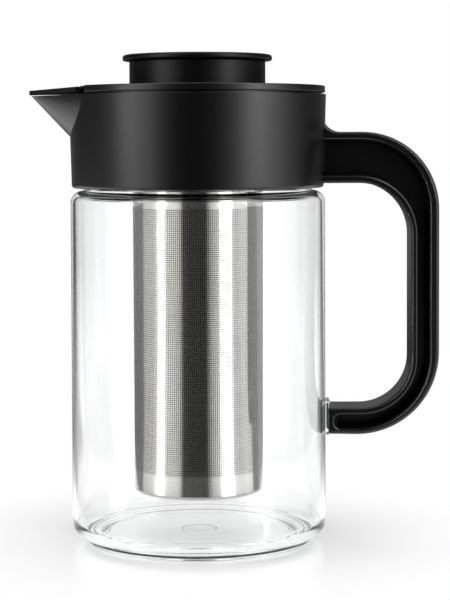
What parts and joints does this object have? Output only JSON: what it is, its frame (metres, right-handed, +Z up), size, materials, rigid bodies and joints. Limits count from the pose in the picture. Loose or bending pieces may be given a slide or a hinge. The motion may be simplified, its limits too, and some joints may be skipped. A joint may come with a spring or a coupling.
{
  "type": "glass tea pitcher with infuser",
  "caption": "Straight-sided glass tea pitcher with a black collar, V spout, D handle, flat lid with hinged pouring flap, and a perforated steel infuser hanging from the knob.",
  "frame": {"origin": "on the glass axis, in the plane that the foot ring stands on", "axes": "+Z up, -X towards the pouring spout, +X towards the handle"},
  "size_m": [0.1823, 0.1148, 0.2171],
  "materials": {
    "glass": "clear polished glass",
    "black_plastic": "satin black moulded plastic",
    "clear_silicone": "translucent soft silicone",
    "perforated_steel": "perforated satin stainless sheet",
    "steel": "satin stainless steel"
  },
  "bodies": {
    "pitcher": {"glass_jug": "glass", "neck_gasket": "clear_silicone", "collar": "black_plastic", "handle": "black_plastic", "handle_bumper": "clear_silicone"},
    "lid": {"lid_plate": "black_plastic", "lid_plug": "black_plastic", "lid_seal": "clear_silicone", "flap_hinge_pin": "steel"},
    "flap": {"spout_flap": "black_plastic"},
    "infuser": {"infuser_neck": "black_plastic", "infuser_seal": "clear_silicone", "infuser_tube": "perforated_steel", "infuser_base": "steel"},
    "cap": {"cap_top": "black_plastic", "cap_plug": "black_plastic", "cap_seal": "clear_silicone"}
  },
  "joints": [
    {"name": "lid_lift", "type": "slide", "parent": "pitcher", "child": "lid", "axis": [0, 0, 1], "range_m": [0, 0.18]},
    {"name": "flap_hinge", "type": "hinge", "parent": "lid", "child": "flap", "pos_m": [-0.0513, 0, 0.2014], "axis": [0, 1, 0], "range_deg": [0, 80]},
    {"name": "infuser_lift", "type": "slide", "parent": "lid", "child": "infuser", "axis": [0, 0, 1], "range_m": [0, 0.185]},
    {"name": "cap_lift", "type": "slide", "parent": "infuser", "child": "cap", "axis": [0, 0, 1], "range_m": [0, 0.03]}
  ]
}
